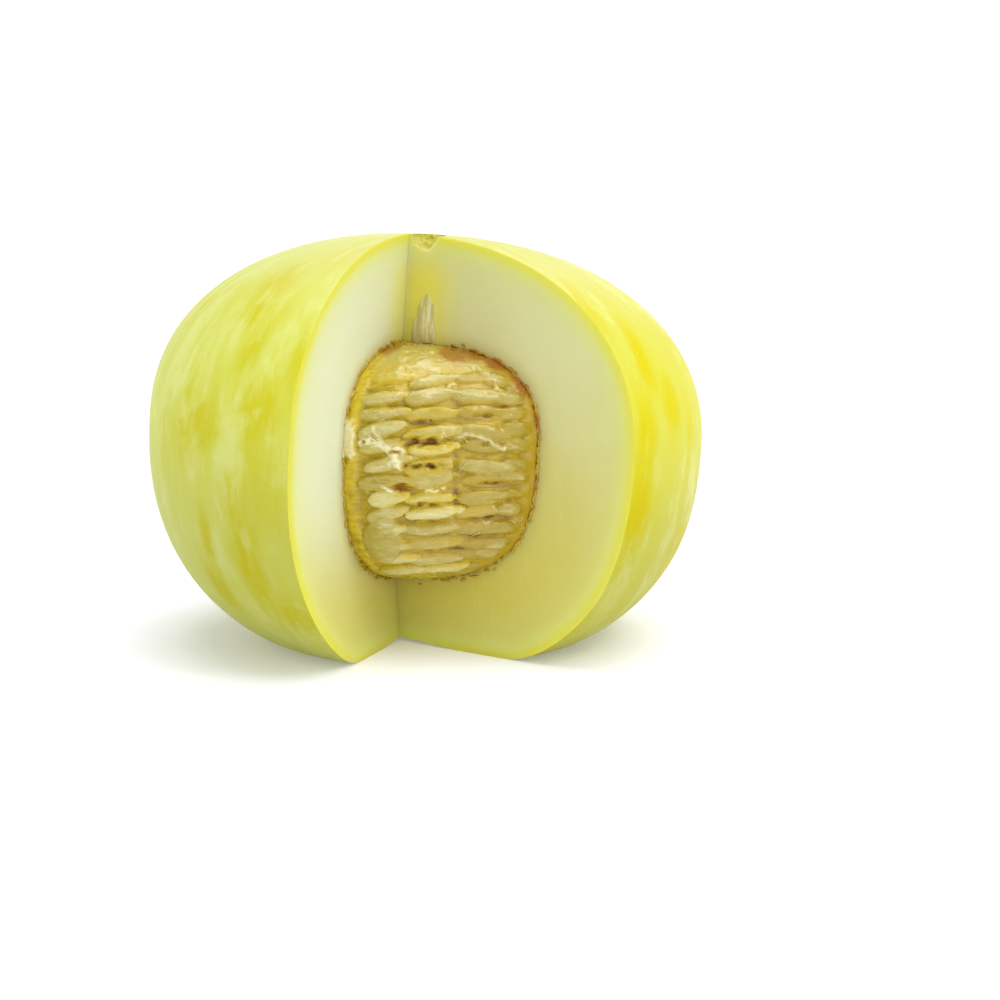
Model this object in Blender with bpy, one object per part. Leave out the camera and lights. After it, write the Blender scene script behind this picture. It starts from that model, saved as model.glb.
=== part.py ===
"""A round yellow melon with one wedge cut out of it. It stands on its blossom end with its stem end up, and
the barrel of pulp and seeds that filled the middle shows in the notch. Metres, +Z up, the notch towards -Y.
The origin is on the surface that the melon stands on, under the middle of its outline."""

import math
import random

import bmesh
import bpy
from mathutils import Matrix, Vector

# Driving dimensions of the melon, about its own axis, with heights from its widest level
RADIUS = 0.075
TOP_HEIGHT = 0.0535
BASE_HEIGHT = 0.0638
FLOOR_DEPTH = 0.0565
TOP_FULLNESS = 2.2
BASE_FULLNESS = 2.36
FLAT_SOFTNESS = 0.0012
SETTLED = 0.00025
BLOSSOM_DIMPLE = 0.0027
BLOSSOM_WIDTH = 0.016
LEAN = math.radians(4.0)

# The wedge: two upright knife cuts that meet in a crease just in front of the axis
LEFT_CUT = math.radians(-20.0)
RIGHT_CUT = math.radians(54.65)
CREASE = Vector((-0.0078, -0.0111))
CUT_LENGTH = 0.2

# The seed cavity, a little to the right of the melon's axis and tipped to the left of it
CAVITY_CENTRE = Vector((0.0021, 0.0007, -0.0011))
CAVITY_RADIUS = 0.0469
CAVITY_TOP = 0.0266
CAVITY_BASE = 0.0376
CAVITY_FULLNESS = 2.8
CAVITY_TILT = math.radians(3.6)

# The stem dimple in the top, which the right cut opens, and the fibrous strand of the core below it, both
# as distances from the crease along the right cut and back from its face
DIMPLE_ALONG = 0.0052
DIMPLE_BACK = 0.0014
DIMPLE_RADIUS = 0.0048
DIMPLE_DEPTH = 0.0046
STRAND_ALONG = 0.0068
STRAND_WIDTH = 0.0082
STRAND_RISE = 0.0014
STRAND_FOOT = 0.0235
STRAND_TIP = 0.0390

# The seed mass fills the cavity, less the gap, and its seeds lie in rows across the notch
GAP = 0.0003
SEED_LENGTH = 0.0125
SEED_HEIGHT = 0.0042
SEED_THICKNESS = 0.0036
SEED_TAPER = 0.7
SEED_SINK = 0.0003
TOP_ROW = 0.0220
ROW_PITCH = 0.0041
ROW_COUNT = 14
SEED_COLUMNS = (
    # azimuth from the front, slope, length as a share, all from left to right
    (math.radians(-13.5), math.radians(9.0), 0.85),
    (math.radians(2.0), math.radians(8.0), 1.0),
    (math.radians(18.5), math.radians(-2.0), 1.0),
    (math.radians(30.0), math.radians(-4.0), 0.66),
)
SEED_ROOM = 0.0014
RANDOM_SEED = 7

# Fineness of the meshes
MELON_SIDES = 64
MELON_RINGS = 32
CAVITY_SIDES = 40
CAVITY_RINGS = 20
SEED_SIDES = 6
SEED_RINGS = 5
KNOB_SIDES = 12
KNOB_RINGS = 8
MERGE = 1e-6


def clear_scene():
    for item in list(bpy.data.objects):
        bpy.data.objects.remove(item, do_unlink=True)


def plain_material(name, colour, roughness):
    material = bpy.data.materials.new(name)
    material.use_nodes = True
    shader = material.node_tree.nodes["Principled BSDF"]
    shader.inputs["Base Color"].default_value = (*colour, 1.0)
    shader.inputs["Roughness"].default_value = roughness
    shader.inputs["Metallic"].default_value = 0.0
    return material


def add_object(name, mesh):
    item = bpy.data.objects.new(name, mesh)
    bpy.context.scene.collection.objects.link(item)
    return item


def close_mesh(name, shape):
    """Ends a bmesh as a mesh with its poles merged and its faces out."""
    bmesh.ops.remove_doubles(shape, verts=shape.verts, dist=MERGE)
    bmesh.ops.recalc_face_normals(shape, faces=shape.faces)
    mesh = bpy.data.meshes.new(name)
    shape.to_mesh(mesh)
    shape.free()
    return mesh


def turned(name, profile, sides):
    """A solid of revolution about Z from (radius, height) points, both ends on the axis."""
    shape = bmesh.new()
    points = [shape.verts.new((0.0, -radius, height)) for radius, height in profile]
    edges = [shape.edges.new(pair) for pair in zip(points, points[1:])]
    turn = {"cent": (0, 0, 0), "axis": (0, 0, 1), "angle": math.tau, "steps": sides}
    bmesh.ops.spin(shape, geom=points + edges, use_merge=True, **turn)
    return close_mesh(name, shape)


def oval_point(angle, radius, height, fullness):
    """A point of a superellipse at an angle above its widest level. A fullness of 2 is an ellipse."""
    share = 2.0 / fullness
    level = math.copysign(abs(math.sin(angle)) ** share, angle)
    return radius * abs(math.cos(angle)) ** share, height * level


def angles(rings):
    return [math.pi * (step / rings - 0.5) for step in range(rings + 1)]


def standing_height(radius, height):
    """Flattens the base softly where the melon stands, and dents it at the blossom scar."""
    over = (height + FLOOR_DEPTH) / FLAT_SOFTNESS
    height = FLAT_SOFTNESS * math.log1p(math.exp(over))
    height += BLOSSOM_DIMPLE * math.exp(-((radius / BLOSSOM_WIDTH) ** 2))
    return max(height - SETTLED, 0.0) - FLOOR_DEPTH


def melon_profile():
    profile = []
    for angle in angles(MELON_RINGS):
        if angle < 0.0:
            radius, height = oval_point(angle, RADIUS, BASE_HEIGHT, BASE_FULLNESS)
            profile.append((radius, standing_height(radius, height)))
        else:
            profile.append(oval_point(angle, RADIUS, TOP_HEIGHT, TOP_FULLNESS))
    return profile


def cavity_profile(inset):
    """The seed cavity's outline about its own centre, or one that lies inside it by inset."""
    profile = []
    for angle in angles(CAVITY_RINGS):
        height = CAVITY_TOP if angle > 0.0 else CAVITY_BASE
        profile.append(oval_point(angle, CAVITY_RADIUS - inset, height - inset, CAVITY_FULLNESS))
    return profile


def in_cavity(mesh, place=Matrix.Identity(4)):
    """Moves a mesh from the cavity's own frame, and a place in it, to the melon's."""
    mesh.transform(Matrix.Translation(CAVITY_CENTRE) @ Matrix.Rotation(-CAVITY_TILT, 4, "Y") @ place)
    return mesh


def facing(azimuth):
    """The level direction at an azimuth from the front, -Y, towards +X."""
    return Vector((math.sin(azimuth), -math.cos(azimuth)))


def wedge_mesh():
    """The space of the wedge: a tall three-cornered prism with its edge on the crease."""
    shape = bmesh.new()
    corners = [CREASE, CREASE + facing(LEFT_CUT) * CUT_LENGTH, CREASE + facing(RIGHT_CUT) * CUT_LENGTH]
    face = shape.faces.new([shape.verts.new((c.x, c.y, -CUT_LENGTH)) for c in corners])
    raised = bmesh.ops.extrude_face_region(shape, geom=[face])["geom"]
    moved = [item for item in raised if isinstance(item, bmesh.types.BMVert)]
    bmesh.ops.translate(shape, verts=moved, vec=(0, 0, 2 * CUT_LENGTH))
    return close_mesh("wedge", shape)


def on_right_cut(along, back, height):
    """A point by its distance from the crease along the right cut and back into the flesh."""
    inward = Vector((math.cos(RIGHT_CUT), math.sin(RIGHT_CUT)))
    spot = CREASE + facing(RIGHT_CUT) * along + inward * back
    return Vector((spot.x, spot.y, height))


def knob_mesh(name, size, centre, taper):
    """A round knob of a size, turned to the right cut, that narrows towards its top by taper."""
    shape = bmesh.new()
    bmesh.ops.create_uvsphere(shape, u_segments=KNOB_SIDES, v_segments=KNOB_RINGS, radius=0.5)
    for corner in shape.verts:
        width = 1.0 - taper * (0.5 + corner.co.z)
        corner.co *= size
        corner.co.xy *= width
    place = Matrix.Translation(centre) @ Matrix.Rotation(RIGHT_CUT - math.radians(90), 4, "Z")
    bmesh.ops.transform(shape, verts=shape.verts, matrix=place)
    return close_mesh(name, shape)


def stem_dimple_mesh():
    size = Vector((2 * DIMPLE_RADIUS, 2 * DIMPLE_RADIUS, 2 * DIMPLE_DEPTH))
    return knob_mesh("dimple", size, on_right_cut(DIMPLE_ALONG, DIMPLE_BACK, TOP_HEIGHT), 0.0)


def strand_mesh():
    """A tapered strand on the right cut, rooted in the flesh and standing a little out of it."""
    size = Vector((STRAND_WIDTH, 4 * STRAND_RISE, STRAND_TIP - STRAND_FOOT))
    middle = (STRAND_TIP + STRAND_FOOT) / 2
    return knob_mesh("strand", size, on_right_cut(STRAND_ALONG, STRAND_RISE, middle), 0.35)


def seed_mesh(name, length):
    """One flat seed along X, round at its left end and drawn out at the other."""
    shape = bmesh.new()
    bmesh.ops.create_uvsphere(shape, u_segments=SEED_SIDES, v_segments=SEED_RINGS, radius=0.5)
    turn = Matrix.Rotation(math.radians(90), 3, "Y")
    bmesh.ops.transform(shape, verts=shape.verts, matrix=turn.to_4x4())
    for corner in shape.verts:
        taper = 1.0 - SEED_TAPER * max(corner.co.x, 0.0)
        corner.co *= Vector((length, SEED_THICKNESS, SEED_HEIGHT * taper))
    return close_mesh(name, shape)


def pulp_radius(height):
    """How far the pulp reaches from the cavity's axis at a height above its centre."""
    span = (CAVITY_TOP if height > 0.0 else CAVITY_BASE) - GAP
    level = min(abs(height) / span, 0.999)
    return (CAVITY_RADIUS - GAP) * (1.0 - level**CAVITY_FULLNESS) ** (1.0 / CAVITY_FULLNESS)


def cut_azimuth(cut, radius, height):
    """Where a knife cut crosses a circle about the cavity's axis at a height, as an azimuth there."""
    way = facing(cut)
    axis = CAVITY_CENTRE - Vector((height * math.sin(CAVITY_TILT), 0.0, 0.0))
    start = CREASE - axis.xy
    along = -start.dot(way) + math.sqrt(max(start.dot(way) ** 2 - start.length_squared + radius**2, 0.0))
    point = start + way * along
    return math.atan2(point.x, -point.y)


def seed_places():
    """(azimuth, height, slope, length share) for each seed that shows, row by row from the top."""
    draw = random.Random(RANDOM_SEED)
    for row in range(ROW_COUNT):
        for azimuth, slope, share in SEED_COLUMNS:
            height = TOP_ROW - row * ROW_PITCH + draw.uniform(-0.0006, 0.0006)
            turn = azimuth + math.radians(draw.uniform(-1.5, 1.5))
            tilt = slope + math.radians(draw.uniform(-5.0, 5.0))
            radius = pulp_radius(height)
            reach = (0.5 * SEED_LENGTH * share + SEED_ROOM) / radius
            low = cut_azimuth(LEFT_CUT, radius, height) + reach
            high = cut_azimuth(RIGHT_CUT, radius, height) - reach
            if low < high:
                yield min(max(turn, low), high), height, tilt, share


def seed_matrix(azimuth, height, slope):
    """Lays a seed along the pulp's surface, half sunk in it."""
    radius = pulp_radius(height)
    step = 0.0005
    lean_in = math.atan2(pulp_radius(height - step) - pulp_radius(height + step), 2 * step)
    centre = facing(azimuth) * (radius - SEED_SINK)
    return (
        Matrix.Translation((centre.x, centre.y, height))
        @ Matrix.Rotation(azimuth, 4, "Z")
        @ Matrix.Rotation(-lean_in, 4, "X")
        @ Matrix.Rotation(-slope, 4, "Y")
    )


def fused(item, operation, tools):
    """Joins an object with a collection of closed tools, or cuts it by them. The tools then go."""
    group = bpy.data.collections.new("tools")
    for tool in tools:
        tool.hide_render = True
        tool.display_type = "WIRE"
        group.objects.link(tool)
    change = item.modifiers.new("boolean", "BOOLEAN")
    change.operation = operation
    change.operand_type = "COLLECTION"
    change.collection = group
    change.solver = "EXACT"
    ready = item.evaluated_get(bpy.context.evaluated_depsgraph_get())
    mesh = bpy.data.meshes.new_from_object(ready)
    item.modifiers.clear()
    item.data = mesh
    for tool in tools:
        bpy.data.objects.remove(tool, do_unlink=True)
    bpy.data.collections.remove(group)


def leaned(point):
    """Tips a point of the upright melon to the right, fully above its middle and not at its base."""
    rise = min(max((point.z + FLOOR_DEPTH) / FLOOR_DEPTH, 0.0), 1.0)
    angle = LEAN * rise * rise * (3.0 - 2.0 * rise)
    return Vector(
        (
            point.x * math.cos(angle) + point.z * math.sin(angle),
            point.y,
            point.z * math.cos(angle) - point.x * math.sin(angle),
        )
    )


def lean_over(item):
    for corner in item.data.vertices:
        corner.co = leaned(corner.co)


def finish(item, material, sharp_angle):
    mesh = item.data
    mesh.materials.clear()
    mesh.materials.append(material)
    mesh.shade_smooth()
    mesh.set_sharp_from_angle(angle=sharp_angle)


def make_melon():
    melon = add_object("melon", turned("melon", melon_profile(), MELON_SIDES))
    cavity = in_cavity(turned("cavity", cavity_profile(0.0), CAVITY_SIDES))
    cuts = [add_object("wedge", wedge_mesh()), add_object("dimple", stem_dimple_mesh())]
    fused(melon, "DIFFERENCE", cuts)
    fused(melon, "UNION", [add_object("strand", strand_mesh())])
    fused(melon, "DIFFERENCE", [add_object("cavity", cavity)])
    lean_over(melon)
    finish(melon, plain_material("skin and flesh", (0.80, 0.80, 0.34), 0.45), math.radians(35))
    return melon


def make_seed_mass():
    seed_mass = add_object("seed_mass", in_cavity(turned("pulp", cavity_profile(GAP), CAVITY_SIDES)))
    seeds = []
    for azimuth, height, slope, share in seed_places():
        mesh = in_cavity(seed_mesh("seed", SEED_LENGTH * share), seed_matrix(azimuth, height, slope))
        seeds.append(add_object("seed", mesh))
    fused(seed_mass, "UNION", seeds)
    lean_over(seed_mass)
    finish(seed_mass, plain_material("pulp and seeds", (0.60, 0.50, 0.20), 0.4), math.radians(50))
    return seed_mass


def stand_on_origin(items):
    """Moves everything so that the middle of its outline's foot is the origin."""
    points = [corner.co for item in items for corner in item.data.vertices]
    low = Vector([min(point[axis] for point in points) for axis in range(3)])
    high = Vector([max(point[axis] for point in points) for axis in range(3)])
    foot = Vector(((low.x + high.x) / 2, (low.y + high.y) / 2, low.z))
    for item in items:
        item.data.transform(Matrix.Translation(-foot))


clear_scene()
stand_on_origin([make_melon(), make_seed_mass()])
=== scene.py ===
"""The looks of a round yellow melon with one wedge cut out of it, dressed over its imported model.
Metres, +Z up, the notch towards -Y, the origin on the floor under the middle of the melon's outline."""

import math
import random

import bmesh
import bpy
import numpy as np
from mathutils import Matrix, Vector, noise


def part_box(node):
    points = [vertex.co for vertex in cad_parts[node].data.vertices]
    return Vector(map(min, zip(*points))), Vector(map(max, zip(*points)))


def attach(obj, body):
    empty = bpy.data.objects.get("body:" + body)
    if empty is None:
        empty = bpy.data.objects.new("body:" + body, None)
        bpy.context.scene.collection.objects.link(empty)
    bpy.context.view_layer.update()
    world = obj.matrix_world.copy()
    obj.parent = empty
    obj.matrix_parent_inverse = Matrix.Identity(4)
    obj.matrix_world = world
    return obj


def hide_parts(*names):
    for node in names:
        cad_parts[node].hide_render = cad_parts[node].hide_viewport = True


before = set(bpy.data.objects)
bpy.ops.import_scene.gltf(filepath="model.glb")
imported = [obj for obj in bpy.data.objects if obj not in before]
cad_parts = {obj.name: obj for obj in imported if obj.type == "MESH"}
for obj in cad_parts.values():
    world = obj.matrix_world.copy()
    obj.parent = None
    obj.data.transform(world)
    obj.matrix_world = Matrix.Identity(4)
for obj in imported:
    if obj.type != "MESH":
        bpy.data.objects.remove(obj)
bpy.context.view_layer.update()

# The melon grew as one piece: a thin waxy skin, firm wet flesh, a corky scar where the stem came off, and a
# strand of stringy core under it. It stands on its blossom end. Two strokes of a long knife have taken one
# wedge out of the front, down to a crease just in front of the axis.
RADIUS = 0.075
TOP_HEIGHT = 0.0535
BASE_HEIGHT = 0.0638
FLOOR_DEPTH = 0.0565
TOP_FULLNESS = 2.2
BASE_FULLNESS = 2.36
FLAT_SOFTNESS = 0.0012
SETTLED = 0.00025
BLOSSOM_DIMPLE = 0.0027
BLOSSOM_WIDTH = 0.016
LEAN = math.radians(4.0)
LEFT_CUT = math.radians(-20.0)
RIGHT_CUT = math.radians(54.65)
CREASE = Vector((-0.0078, -0.0111))
CAVITY_CENTRE = Vector((0.0021, 0.0007, -0.0011))
CAVITY_RADIUS = 0.0469
CAVITY_TOP = 0.0266
CAVITY_BASE = 0.0376
CAVITY_FULLNESS = 2.8
CAVITY_TILT = math.radians(3.6)
DIMPLE_ALONG = 0.0052
DIMPLE_BACK = 0.0014
DIMPLE_RADIUS = 0.0048
DIMPLE_DEPTH = 0.0046
STRAND_ALONG = 0.0072
STRAND_WIDTH = 0.0112
STRAND_RISE = 0.0014
STRAND_FOOT = 0.0165
STRAND_TIP = 0.0390
STRAND_TAPER = 0.25
COLUMN_ALONG = 0.0060
COLUMN_RADIUS = 0.0095
COLUMN_FOOT, COLUMN_TOP = (0.012, 0.020), (0.0530, 0.0400)
SKIN_SIDES, SKIN_RINGS = 256, 128
CAVITY_SIDES, CAVITY_RINGS = 128, 48
DIMPLE_SIDES, DIMPLE_RINGS = 48, 32
STRAND_SIDES, STRAND_RINGS = 64, 48
CUT_ROWS = 64
CUT_REACH = 0.105
CUT_OVERSHOOT = 1.1
CORNER = math.radians(40)
MERGE = 1e-6
# How rough a surface is: how far it strays, at what pace, how drawn out along each axis, and by which noise
DIMPLE_ROUGH = (0.0006, 0.0022, (1.0, 1.0, 1.0), 3.0)
STRAND_ROUGH = (0.0006, 0.0019, (1.0, 1.0, 2.6), 5.0)
CAVITY_ROUGH = (0.00035, 0.003, (1.0, 1.0, 1.0), 7.0)

# The melon's own upright frame has its origin at the middle of its widest level. The lean moves the middle of
# the outline this far from the axis.
OUTLINE_SHIFT = 0.00009
melon_low, melon_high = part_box("melon")
AXIS_FOOT = Vector(((melon_low.x + melon_high.x) / 2 + OUTLINE_SHIFT, melon_high.y - RADIUS, FLOOR_DEPTH))


def colour(red, green, blue):
    """A colour given as it looks on a screen, 0 to 255, as the light that a shader takes."""
    shares = [value / 255 for value in (red, green, blue)]
    return (*[s / 12.92 if s < 0.04045 else ((s + 0.055) / 1.055) ** 2.4 for s in shares], 1.0)


class Feed:
    """What one output of a material's node gives. Sums and products on it add Math nodes."""

    def __init__(self, tree, kind, settings=(), inputs=(), output=0):
        node = tree.nodes.new(kind)
        for name, value in dict(settings).items():
            setattr(node, name, value)
        for name, value in dict(inputs).items():
            if isinstance(value, Feed):
                tree.links.new(value.socket, node.inputs[name])
            else:
                node.inputs[name].default_value = value
        self.tree, self.socket = tree, node.outputs[output]

    def maths(self, operation, *values):
        return Feed(self.tree, "ShaderNodeMath", {"operation": operation}, enumerate(values))

    def __add__(self, other):
        return self.maths("ADD", self, other)

    def __radd__(self, other):
        return self.maths("ADD", other, self)

    def __sub__(self, other):
        return self.maths("SUBTRACT", self, other)

    def __rsub__(self, other):
        return self.maths("SUBTRACT", other, self)

    def __mul__(self, other):
        return self.maths("MULTIPLY", self, other)

    def __rmul__(self, other):
        return self.maths("MULTIPLY", other, self)

    def between(self, low, high):
        """0 below low and 1 above high, with a soft step between them. It falls where low is the greater."""
        ends = {"Value": self, "From Min": low, "From Max": high}
        return Feed(self.tree, "ShaderNodeMapRange", {"interpolation_type": "SMOOTHSTEP"}, ends)

    def blend(self, under, over, kind="MIX"):
        """The colour over laid on the colour under, by this amount."""
        settings = {"data_type": "RGBA", "blend_type": kind, "clamp_factor": True}
        return Feed(self.tree, "ShaderNodeMix", settings, {0: self, 6: under, 7: over}, 2)


class Finish:
    """One material, with the nodes that its looks are made of."""

    def __init__(self, name, **shader):
        self.material = bpy.data.materials.new(name)
        self.material.use_nodes = True
        self.tree = self.material.node_tree
        self.shader = self.tree.nodes["Principled BSDF"]
        for socket, value in shader.items():
            self.shader.inputs[socket.replace("_", " ")].default_value = value

    def painted(self, name, output="Fac"):
        """What was painted on the points under a name: Fac is a number and Vector a place."""
        return Feed(self.tree, "ShaderNodeAttribute", {"attribute_name": name}, {}, output)

    def place(self, stretch=(1.0, 1.0, 1.0)):
        """The place on the object, in metres, stretched along each axis."""
        here = Feed(self.tree, "ShaderNodeTexCoord", {}, {}, "Object")
        return self.stretched(here, stretch)

    def stretched(self, here, stretch):
        return Feed(self.tree, "ShaderNodeMapping", {}, {"Vector": here, "Scale": stretch})

    def cloud(self, here, scale, detail=3.0, roughness=0.5):
        """Soft noise from 0 to 1."""
        inputs = {"Vector": here, "Scale": scale, "Detail": detail, "Roughness": roughness}
        return Feed(self.tree, "ShaderNodeTexNoise", {}, inputs, 0)

    def feeds(self, socket, value):
        self.tree.links.new(value.socket, self.shader.inputs[socket])

    def bumped(self, height, distance, strength=1.0):
        inputs = {"Height": height, "Distance": distance, "Strength": strength}
        self.feeds("Normal", Feed(self.tree, "ShaderNodeBump", {}, inputs, "Normal"))


def finish_skin():
    """Satin waxed skin: pale green-yellow, with streaks of deeper yellow that run from end to end, paler
    towards the top, and painted shade that darkens it towards the base.
    """
    skin = Finish("melon_skin", Specular_IOR_Level=0.08, Subsurface_Weight=0.12, Subsurface_Scale=0.002,
                  Subsurface_Radius=(1.0, 0.85, 0.25))
    around = skin.painted("meridian", "Vector")
    wisps = skin.cloud(skin.stretched(around, (9.0, 9.0, 3.0)), 1.0, 5.0, 0.62)
    washes = skin.cloud(skin.stretched(around, (3.2, 3.2, 1.8)), 1.0, 3.0, 0.55)
    threads = skin.cloud(skin.stretched(around, (34.0, 34.0, 6.0)), 1.0, 4.0, 0.6)
    mottle = skin.cloud(skin.place(), 150.0, 4.0, 0.6)
    right_side = skin.painted("right_side_share")
    marks = skin.painted("streak")
    streak = marks * 0.85 + (wisps - 0.5) * 1.0 + (washes - 0.5) * 0.7
    streak = streak + (threads - 0.5) * 0.3 + (mottle - 0.5) * 0.3
    # the skin is a more saturated yellow towards the right side
    base = right_side.blend(colour(210, 214, 104), colour(206, 203, 80))
    deep = right_side.blend(colour(203, 198, 34), colour(209, 197, 1))
    tone = streak.between(0.0, 0.9).blend(base, deep)
    amber = (marks * (wisps + mottle * 0.4)).between(0.50, 0.90) * 0.4
    tone = amber.blend(tone, colour(212, 188, 10))
    pale = (washes * 0.6 + mottle * 0.4).between(0.56, 0.40) * wisps.between(0.56, 0.40) * 0.6
    tone = pale.blend(tone, colour(220, 224, 144))
    dots = skin.cloud(skin.place(), 900.0, 2.0).between(0.66, 0.74) * 0.12
    tone = dots.blend(tone, colour(232, 232, 180))
    level = Feed(skin.tree, "ShaderNodeSeparateXYZ", {}, {"Vector": around}, "Z")
    tone = (level.between(0.35, 0.9) * 0.55).blend(tone, colour(220, 220, 158))
    # painted shade: the skin is darkened towards the base
    low = level.between(0.25, -0.45) * 0.65
    skin.feeds("Base Color", low.blend(tone, colour(206, 203, 206), "MULTIPLY"))
    skin.feeds("Roughness", 0.38 + wisps * 0.12)
    pores = skin.cloud(skin.place(), 1100.0, 3.0)
    skin.bumped(pores * 0.35 + threads * 0.65, 0.00012, 0.5)
    return skin.material


def finish_flesh():
    """Wet cut flesh: green just inside the skin, cream-white inwards, with painted shade and yellow bounce
    light low down and to the right, and more yellow at the core, where it is stringy and a little glassy."""
    flesh = Finish("melon_flesh", Specular_IOR_Level=0.25, Subsurface_Weight=0.45, Subsurface_Scale=0.007,
                   Subsurface_Radius=(1.0, 0.85, 0.4))
    depth = flesh.painted("depth")
    grain = flesh.cloud(flesh.place((1.0, 1.0, 0.45)), 420.0, 4.0, 0.6)
    patches = flesh.cloud(flesh.place(), 45.0, 3.0)
    # painted shade and yellow bounce light: the flesh turns darker and yellower low down and on the right cut
    painted_shade = flesh.painted("painted_shade_yellowing") + (patches - 0.5) * 0.25
    tone = painted_shade.between(-0.1, 1.1).blend(colour(221, 225, 194), colour(205, 195, 86))
    ring = depth + (patches - 0.5) * 1.6
    tone = ring.between(7.0, 0.4).blend(tone, colour(214, 218, 116))
    tone = (ring.between(16.0, 3.0) * 0.35).blend(tone, colour(212, 216, 140))
    tone = (ring * 0.5 + depth * 0.5).between(3.4, 0.0).blend(tone, colour(212, 208, 84))
    tone = (flesh.painted("core").between(5.0, 0.2) * 0.45).blend(tone, colour(204, 188, 104))
    strings = flesh.cloud(flesh.place((1.0, 1.0, 0.15)), 700.0, 4.0, 0.6)
    column = flesh.painted("column") + (strings - 0.5) * 0.35
    tone = (column.between(0.0, 1.1) * 0.9).blend(tone, colour(226, 218, 98))
    tone = (grain.between(0.52, 0.74) * 0.12).blend(tone, colour(222, 224, 178))
    flesh.feeds("Base Color", tone)
    fine = flesh.cloud(flesh.place(), 2600.0, 3.0)
    flesh.feeds("Roughness", 0.36 + grain * 0.2)
    flesh.bumped(grain * 0.6 + fine * 0.4, 0.00018, 0.6)
    return flesh.material


def finish_cork():
    """The dry corky scar of the stem, brown over green."""
    cork = Finish("stem_scar", Roughness=0.75, Specular_IOR_Level=0.2)
    crumbs = cork.cloud(cork.place(), 700.0, 5.0, 0.65)
    lumps = cork.cloud(cork.place(), 260.0, 3.0)
    tone = lumps.between(0.40, 0.62).blend(colour(208, 200, 116), colour(214, 210, 92))
    tone = (crumbs.between(0.48, 0.70) * 0.7).blend(tone, colour(164, 142, 72))
    cork.feeds("Base Color", tone)
    cork.bumped(crumbs, 0.0006)
    return cork.material


def finish_strand():
    """The core's stringy strand: white and dry above, browned at its foot where it ran into the seeds."""
    strand = Finish("core_strand", Roughness=0.5, Specular_IOR_Level=0.3, Subsurface_Weight=0.3,
                    Subsurface_Scale=0.003)
    strings = strand.cloud(strand.place((1.0, 1.0, 0.12)), 900.0, 4.0, 0.6)
    foot = strand.painted("foot")
    tone = strings.between(0.40, 0.62).blend(colour(198, 190, 128), colour(220, 213, 172))
    tone = (foot + (strings - 0.5) * 0.5).between(0.45, 1.0).blend(tone, colour(178, 154, 80))
    strand.feeds("Base Color", tone)
    strand.bumped(strings, 0.0004)
    return strand.material


skin_finish, flesh_finish = finish_skin(), finish_flesh()
cork_finish, strand_finish = finish_cork(), finish_strand()


def oval_point(angle, radius, height, fullness):
    """A point of a superellipse at an angle above its widest level. A fullness of 2 is an ellipse."""
    share = 2.0 / fullness
    level = math.copysign(abs(math.sin(angle)) ** share, angle)
    return radius * abs(math.cos(angle)) ** share, height * level


def standing_height(radius, height):
    """Flattens the base softly where the melon stands, and dents it at the blossom scar."""
    over = (height + FLOOR_DEPTH) / FLAT_SOFTNESS
    height = FLAT_SOFTNESS * math.log1p(math.exp(over))
    height += BLOSSOM_DIMPLE * math.exp(-((radius / BLOSSOM_WIDTH) ** 2))
    return max(height - SETTLED, 0.0) - FLOOR_DEPTH


def melon_point(angle):
    if angle < 0.0:
        radius, height = oval_point(angle, RADIUS, BASE_HEIGHT, BASE_FULLNESS)
        return radius, standing_height(radius, height)
    return oval_point(angle, RADIUS, TOP_HEIGHT, TOP_FULLNESS)


def cavity_point(angle):
    return oval_point(angle, CAVITY_RADIUS, CAVITY_TOP if angle > 0.0 else CAVITY_BASE, CAVITY_FULLNESS)


def pick(piece, kind, test):
    """In edit mode, selects the points, edges or faces that pass a test, and no others."""
    bpy.ops.mesh.select_mode(type=kind)
    bpy.ops.mesh.select_all(action="DESELECT")
    shape = bmesh.from_edit_mesh(piece.data)
    items = {"VERT": shape.verts, "EDGE": shape.edges, "FACE": shape.faces}[kind]
    for item in items:
        item.select_set(test(item))
    shape.select_flush_mode()
    bmesh.update_edit_mesh(piece.data)


def opened(name):
    """Names the primitive that was just added and opens it in edit mode."""
    piece = bpy.context.object
    piece.name = piece.data.name = name
    bpy.ops.object.transform_apply(location=True, rotation=True, scale=True)
    bpy.ops.object.mode_set(mode="EDIT")
    return piece


def closed(piece, material):
    """Ends an edit: doubles are merged, faces turned out, and one material given."""
    bpy.ops.mesh.select_mode(type="VERT")
    bpy.ops.mesh.select_all(action="SELECT")
    bpy.ops.mesh.remove_doubles(threshold=MERGE)
    bpy.ops.mesh.normals_make_consistent(inside=False)
    bpy.ops.object.mode_set(mode="OBJECT")
    piece.data.materials.clear()
    piece.data.materials.append(material)
    return piece


def turned(name, outline, rings, sides, material):
    """A half circle, drawn upright and put on an outline, is spun into a closed solid about Z."""
    bpy.ops.object.select_all(action="DESELECT")
    bpy.ops.mesh.primitive_circle_add(vertices=2 * rings, radius=1.0, rotation=(math.radians(90), 0.0, 0.0))
    piece = opened(name)
    pick(piece, "VERT", lambda point: point.co.x < -MERGE)
    bpy.ops.mesh.delete(type="VERT")
    shape = bmesh.from_edit_mesh(piece.data)
    for point in shape.verts:
        radius, height = outline(math.atan2(point.co.z, point.co.x))
        point.co = Vector((radius, 0.0, height))
    bmesh.update_edit_mesh(piece.data)
    bpy.ops.mesh.select_all(action="SELECT")
    bpy.ops.mesh.spin(steps=sides, angle=math.tau, center=(0.0, 0.0, 0.0), axis=(0.0, 0.0, 1.0))
    return closed(piece, material)


def selected(*pieces):
    """Selects these pieces and no others. The first is the active one."""
    bpy.ops.object.select_all(action="DESELECT")
    for piece in pieces:
        piece.select_set(True)
    bpy.context.view_layer.objects.active = pieces[0]


def applied(piece, kind, **settings):
    """Adds one modifier to a piece and applies it."""
    selected(piece)
    change = piece.modifiers.new(kind.lower(), kind)
    for name, value in settings.items():
        setattr(change, name, value)
    bpy.ops.object.modifier_apply(modifier=change.name)
    return piece


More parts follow.
